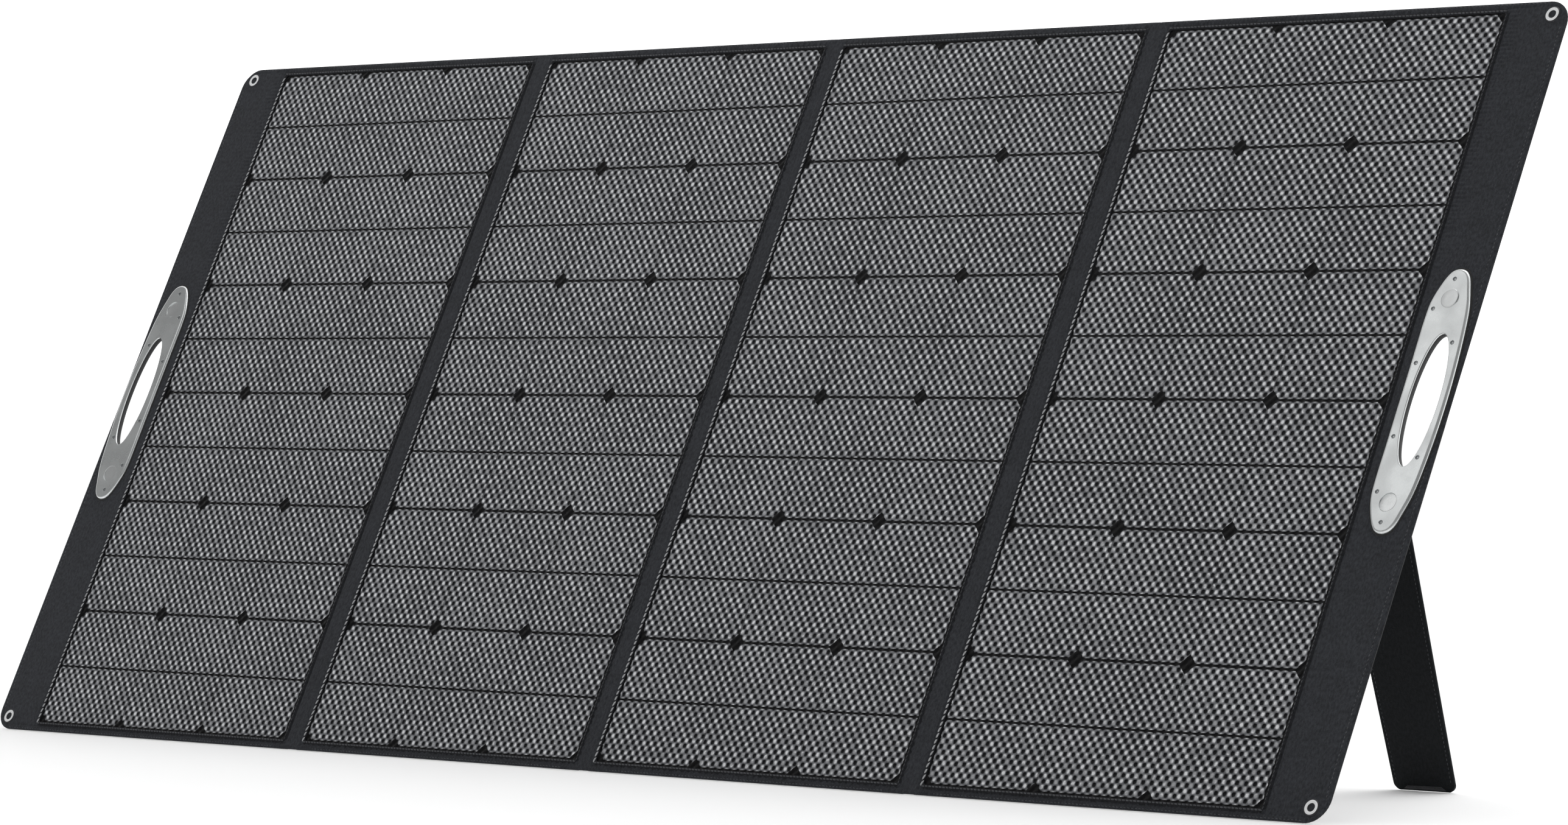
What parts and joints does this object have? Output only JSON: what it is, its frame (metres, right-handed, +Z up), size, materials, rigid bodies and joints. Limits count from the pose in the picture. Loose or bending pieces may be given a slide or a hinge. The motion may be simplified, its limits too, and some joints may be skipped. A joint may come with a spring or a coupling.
{
  "type": "folding solar panel",
  "caption": "Folding camping solar panel with hinged cell sections, fold-out legs, end carry handles and corner grommets.",
  "frame": {"origin": "middle of the standing panel's footprint, on the ground", "axes": "+X along the unfolded panel towards section d, +Y towards the back, +Z up"},
  "size_m": [2.3312, 0.469, 0.9293],
  "materials": {
    "border_fabric": "fine woven polyester, matt",
    "back_fabric": "woven polyester, matt",
    "webbing": "ribbed webbing",
    "hook_tape": "hook tape",
    "front_sheet": "embossed front film over dark cells",
    "silicon": "monocrystalline silicon",
    "ribbon": "tinned copper",
    "board_plastic": "stiff plastic board",
    "handle_metal": "satin silver",
    "screw_steel": "zinc plated",
    "magnet_metal": "nickel plated",
    "grommet_metal": "nickel plated",
    "box_plastic": "moulded, fine texture",
    "gland_rubber": "moulded rubber",
    "diode_plastic": "moulded epoxy"
  },
  "bodies": {
    "section_b": {"front_frame_b": "border_fabric", "laminate_b": "front_sheet", "cells_b": "silicon", "ribbons_b": "ribbon", "board_b": "board_plastic", "back_cover_b": "back_fabric", "fold_strip_b": "border_fabric", "leg_strap_b": "webbing", "leg_patch_b": "hook_tape"},
    "section_a": {"front_frame_a": "border_fabric", "laminate_a": "front_sheet", "cells_a": "silicon", "ribbons_a": "ribbon", "board_a": "board_plastic", "back_cover_a": "back_fabric", "fold_strip_a": "border_fabric", "leg_strap_a": "webbing", "leg_patch_a": "hook_tape", "handle_front_left": "handle_metal", "handle_back_left": "handle_metal", "handle_screws_left": "screw_steel", "handle_magnets_left": "magnet_metal", "grommets_left": "grommet_metal", "junction_box_base": "box_plastic", "junction_box_lid": "box_plastic", "junction_box_screws": "screw_steel", "cable_gland": "gland_rubber", "bypass_diodes": "diode_plastic"},
    "section_c": {"front_frame_c": "border_fabric", "laminate_c": "front_sheet", "cells_c": "silicon", "ribbons_c": "ribbon", "board_c": "board_plastic", "back_cover_c": "back_fabric", "fold_strip_c": "border_fabric", "leg_strap_c": "webbing", "leg_patch_c": "hook_tape"},
    "section_d": {"front_frame_d": "border_fabric", "laminate_d": "front_sheet", "cells_d": "silicon", "ribbons_d": "ribbon", "board_d": "board_plastic", "back_cover_d": "back_fabric", "fold_strip_d": "border_fabric", "leg_strap_d": "webbing", "leg_patch_d": "hook_tape", "handle_front_right": "handle_metal", "handle_back_right": "handle_metal", "handle_screws_right": "screw_steel", "handle_magnets_right": "magnet_metal", "grommets_right": "grommet_metal"},
    "leg_a": {"leg_core_a": "board_plastic", "leg_cover_a": "back_fabric"},
    "leg_b": {"leg_core_b": "board_plastic", "leg_cover_b": "back_fabric"},
    "leg_c": {"leg_core_c": "board_plastic", "leg_cover_c": "back_fabric"},
    "leg_d": {"leg_core_d": "board_plastic", "leg_cover_d": "back_fabric"}
  },
  "joints": [
    {"name": "fold_bc", "type": "hinge", "parent": "section_b", "child": "section_c", "pos_m": [0, 0.00813, 0.46059], "axis": [0, 0.4484, 0.8938], "range_deg": [0, 180]},
    {"name": "fold_ab", "type": "hinge", "parent": "section_b", "child": "section_a", "pos_m": [-0.5465, -0.00527, 0.46731], "axis": [0, 0.4484, 0.8938], "range_deg": [0, 180]},
    {"name": "fold_cd", "type": "hinge", "parent": "section_c", "child": "section_d", "pos_m": [0.5465, -0.00527, 0.46731], "axis": [0, -0.4484, -0.8938], "range_deg": [0, 180]},
    {"name": "leg_a_hinge", "type": "hinge", "parent": "section_a", "child": "leg_a", "pos_m": [-0.954, 0.05263, 0.56044], "axis": [-1, 0, 0], "range_deg": [0, 44.25], "deforming": ["leg_strap_a"]},
    {"name": "leg_b_hinge", "type": "hinge", "parent": "section_b", "child": "leg_b", "pos_m": [-0.405, 0.05263, 0.56044], "axis": [-1, 0, 0], "range_deg": [0, 44.25], "deforming": ["leg_strap_b"]},
    {"name": "leg_c_hinge", "type": "hinge", "parent": "section_c", "child": "leg_c", "pos_m": [0.405, 0.05263, 0.56044], "axis": [-1, 0, 0], "range_deg": [0, 44.25], "deforming": ["leg_strap_c"]},
    {"name": "leg_d_hinge", "type": "hinge", "parent": "section_d", "child": "leg_d", "pos_m": [0.954, 0.05263, 0.56044], "axis": [-1, 0, 0], "range_deg": [0, 44.25], "deforming": ["leg_strap_d"]}
  ],
  "couplings": [
    {"joint": "fold_ab", "follows": "fold_bc", "ratio": 1},
    {"joint": "fold_cd", "follows": "fold_bc", "ratio": 1},
    {"joint": "leg_b_hinge", "follows": "fold_bc", "ratio": 0.2458},
    {"joint": "leg_c_hinge", "follows": "fold_bc", "ratio": 0.2458}
  ]
}
